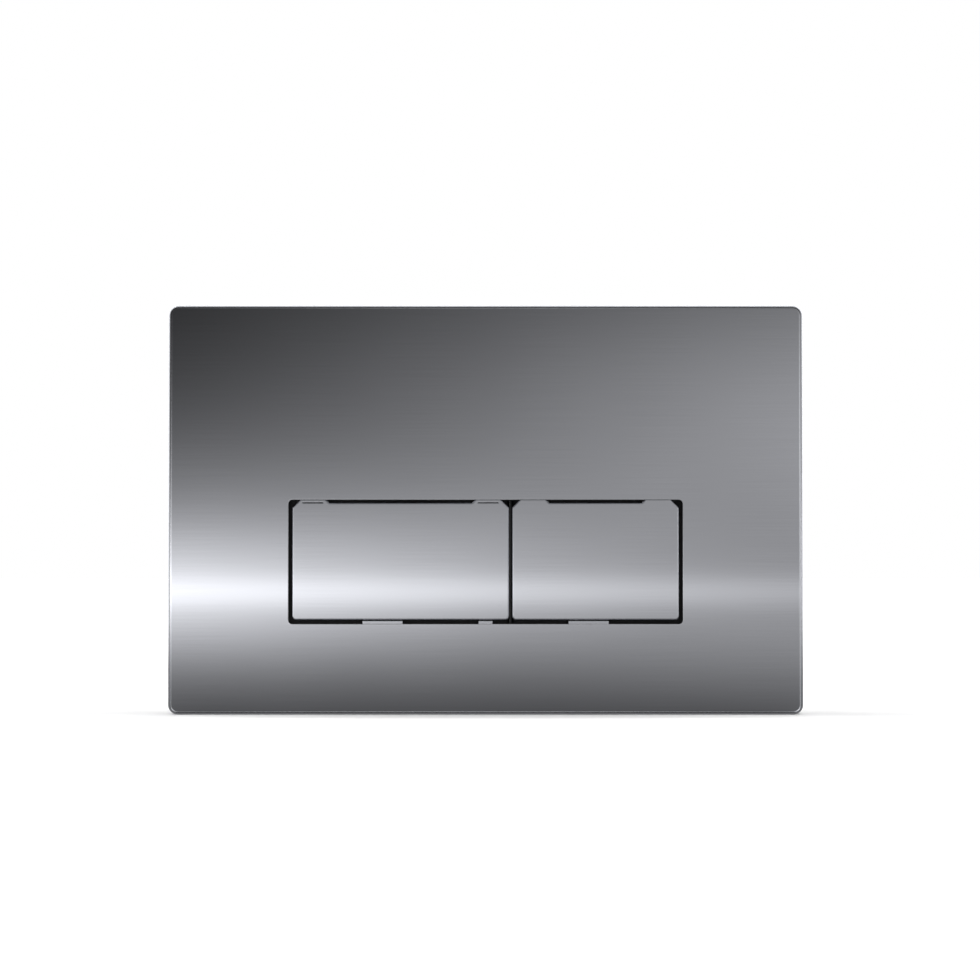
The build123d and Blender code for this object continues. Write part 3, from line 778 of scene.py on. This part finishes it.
select_none()
bpy.ops.mesh.primitive_plane_add(size=floor_size, location=(0, 0, floor_z))
floor = bpy.context.object
floor.name = "studio_floor"
paper, tree, shader = new_finish("white_paper", metallic=0.0)
shader.inputs["Base Color"].default_value = (0.85, 0.85, 0.85, 1)
shader.inputs["Roughness"].default_value = 1.0
shader.inputs["Specular IOR Level"].default_value = 0.0
shader.inputs["Emission Color"].default_value = (1, 1, 1, 1)
light_path = tree.nodes.new("ShaderNodeLightPath")
near = soft_spot(tree, (0, 0, 0), (dip_width, dip_depth, 1))
glow = math_node(tree, "MULTIPLY_ADD", near, -dip, 1.0)
glow = math_node(tree, "MULTIPLY", light_path.outputs["Is Camera Ray"], glow)
tree.links.new(glow, shader.inputs["Emission Strength"])
floor.data.materials.append(paper)
floor.visible_glossy = False
print("floor at", round(floor_z / MM, 1), "mm")

# %% [markdown]
# The camera sees the world as white. Other rays see it dimmer, because steel that reflects white from all
# sides looks flat: matt surfaces get a quarter of the light, and reflections see a grey sky that is a
# little brighter above than below. In a world, the Generated coordinate is the direction of the ray.

# %% World
diffuse_light = 0.25
level_light = 0.34
light_rise = 0.12

world = bpy.data.worlds.new("studio")
bpy.context.scene.world = world
world.use_nodes = True
tree = world.node_tree
light_path = tree.nodes.new("ShaderNodeLightPath")
direction = tree.nodes.new("ShaderNodeTexCoord")
parts = tree.nodes.new("ShaderNodeSeparateXYZ")
tree.links.new(direction.outputs["Generated"], parts.inputs["Vector"])
mirrored = math_node(tree, "MULTIPLY_ADD", parts.outputs["Z"], light_rise, level_light)
choose = tree.nodes.new("ShaderNodeMix")
tree.links.new(light_path.outputs["Is Diffuse Ray"], choose.inputs["Factor"])
tree.links.new(mirrored, choose.inputs["A"])
choose.inputs["B"].default_value = diffuse_light
seen = math_node(tree, "MAXIMUM", choose.outputs["Result"], light_path.outputs["Is Camera Ray"])
tree.links.new(seen, tree.nodes["Background"].inputs["Strength"])
tree.nodes["Background"].inputs["Color"].default_value = (1, 1, 1, 1)
print("world", world.name, "with", len(tree.nodes), "nodes")

# %% [markdown]
# Steel shows what stands in front of it. Here that is a screen before the plate with soft lamps on it,
# and each lamp is one soft spot. A narrow band from the left makes the bright stripe across the buttons,
# inside a wider glow, and two weak glows light the right side. Past the rim of the plate, thin strips,
# corner lamps and far lamps show, from the front, only in its rounded edges. A lamp is given by where its
# reflection appears: the middle, half width and half height in the plane of the plate, in millimetres,
# and its power there.

# %% Lamps of the screen
camera_distance = 1.0
camera_x = 1.72 * MM
camera_z = -13.9 * MM
lamps = {
    "band_core": {"x": -125, "z": -32, "width": 275, "height": 5.5, "power": 0.36},
    "band": {"x": -270, "z": -32, "width": 228, "height": 22, "power": 0.7},
    "band_glow": {"x": -112, "z": -26.5, "width": 202, "height": 45, "power": 0.27},
    "right_glow": {"x": 256, "z": 34, "width": 265, "height": 66, "power": 0.36},
    "low_right_glow": {"x": 163, "z": -51.5, "width": 130, "height": 28, "power": 0.145},
    "right_edge": {"x": 152, "z": -10, "width": 10, "height": 90, "power": 0.6},
    "left_edge": {"x": -152, "z": -20, "width": 10, "height": 70, "power": 0.5},
    "top_edge": {"x": 20, "z": 112, "width": 130, "height": 10, "power": 0.3},
    "bottom_edge": {"x": 0, "z": -118, "width": 160, "height": 14, "power": 0.45},
    "far_right": {"x": 290, "z": -20, "width": 40, "height": 34, "power": 1.8},
    "far_left": {"x": -290, "z": -20, "width": 40, "height": 34, "power": 1.2},
    "low_right_corner": {"x": 165, "z": -120, "width": 28, "height": 28, "power": 1.0},
    "low_left_corner": {"x": -165, "z": -120, "width": 28, "height": 28, "power": 0.6},
}
print(len(lamps), "lamps, the camera", camera_distance, "m away")

# %% [markdown]
# The lamps could be area lights, but those have hard edges in a mirror. Their sum is the emission of one
# plane instead. The steel reflects about six tenths of it, so each power is divided by that. A mirror image
# lies behind the plate and looks smaller from the camera, so each lamp is made a little larger and moved
# further out. The screen is hidden from the camera and from matt surfaces, and casts no shadow.

# %% Lamp screen
plate_front = cad_box[0][1]
screen_distance = 0.1
screen_width = 0.7
screen_height = 0.5
screen_y = plate_front - screen_distance
steel_share = 0.6
grow = screen_distance / camera_distance

select_none()
bpy.ops.mesh.primitive_plane_add(size=1, location=(0, screen_y, 0), rotation=(pi / 2, 0, 0))
screen = bpy.context.object
screen.name = "lamp_screen"
screen.scale = (screen_width, screen_height, 1)
bpy.ops.object.transform_apply(location=True, rotation=True, scale=True)
cloth = bpy.data.materials.new("lit_screen")
cloth.use_nodes = True
tree = cloth.node_tree
tree.nodes.clear()
total = 0.0
for lamp in lamps.values():
    x, z, width, height = (lamp[size] * MM * (1 + grow) for size in ("x", "z", "width", "height"))
    place = (x - grow * camera_x, screen_y, z - grow * camera_z)
    spot = soft_spot(tree, place, (width, 1, height))
    total = math_node(tree, "MULTIPLY_ADD", spot, lamp["power"] / steel_share, total)
emission = tree.nodes.new("ShaderNodeEmission")
tree.links.new(total, emission.inputs["Strength"])
output = tree.nodes.new("ShaderNodeOutputMaterial")
tree.links.new(emission.outputs["Emission"], output.inputs["Surface"])
screen.data.materials.append(cloth)
screen.visible_camera = False
screen.visible_diffuse = False
screen.visible_shadow = False
print("lamp screen with", len(tree.nodes), "nodes")

# %% [markdown]
# Behind the plate the studio is white. The rolled edges of the plate turn so far that they reflect it, so
# a white backdrop stands there. Its middle, behind the plate, is dim. Zinc plated pieces on the back would
# otherwise mirror white alone and lose their form. It too is hidden from the camera, which may look from
# behind.

# %% Backdrop
backdrop_y = 0.4
backdrop_size = 4
shade = 0.9
shade_size = 0.28

select_none()
bpy.ops.mesh.primitive_plane_add(
    size=backdrop_size, location=(0, backdrop_y, floor_z + backdrop_size / 2), rotation=(pi / 2, 0, 0)
)
backdrop = bpy.context.object
backdrop.name = "backdrop"
bpy.ops.object.transform_apply(location=True, rotation=True, scale=True)
card, tree, shader = new_finish("white_card", metallic=0.0)
shader.inputs["Base Color"].default_value = (0.8, 0.8, 0.8, 1)
shader.inputs["Emission Color"].default_value = (1, 1, 1, 1)
dim_middle = soft_spot(tree, (0, backdrop_y, 0), (shade_size, 1, shade_size))
tree.links.new(math_node(tree, "MULTIPLY_ADD", dim_middle, -shade, 1.0), shader.inputs["Emission Strength"])
backdrop.data.materials.append(card)
backdrop.visible_camera = False
backdrop.visible_diffuse = False
backdrop.visible_shadow = False
print("backdrop at", round(backdrop_y / MM), "mm")

# %% [markdown]
# Soft area lights light the floor and the plastic pieces. A large one hangs above, a little in front. Two
# smaller ones at the sides draw the thin shadows on the floor beside the plate, and a large one behind is
# for the views of the back. They don't show in reflections, which are left to the screen.

# %% Soft lights
def soft_light(name, place, target, size, power):
    """A square area light that looks from its place at a target."""
    data = bpy.data.lights.new(name, "AREA")
    data.size = size
    data.energy = power
    light = bpy.data.objects.new(name, data)
    bpy.context.scene.collection.objects.link(light)
    light.location = place
    light.rotation_euler = (Vector(target) - Vector(place)).to_track_quat("-Z", "Y").to_euler()
    light.visible_glossy = False
    print("soft light", name, power, "W")


plate_middle = (0, 0, 0)
plate_foot = (0, 0, -0.08)
soft_light("overhead", place=(0, -0.5, 1.5), target=plate_middle, size=1.0, power=7)
soft_light("left", place=(-0.7, 0.1, 1.1), target=plate_foot, size=0.4, power=6)
soft_light("right", place=(0.7, 0.05, 1.1), target=plate_foot, size=0.4, power=4)
soft_light("behind", place=(0.4, 1.1, 1.3), target=plate_middle, size=1.0, power=6)

# %% [markdown]
# The camera stands a metre in front of the plate, a little below its middle, and looks up by about one
# degree. Its focal length makes the plate as wide as in the photo.

# %% Camera
camera_tilt = radians(1.235)
focal_length = 94.1
sensor_width = 36

camera = bpy.data.objects.new("camera", bpy.data.cameras.new("camera"))
bpy.context.scene.collection.objects.link(camera)
camera.location = (camera_x, plate_front - camera_distance, camera_z)
camera.rotation_euler = (pi / 2 + camera_tilt, 0, 0)
camera.data.lens = focal_length
camera.data.sensor_width = sensor_width
bpy.context.scene.camera = camera
bpy.context.scene.view_settings.view_transform = "Standard"
print("camera", [round(v, 4) for v in camera.location])

# %% End of the scene
print("scene built")
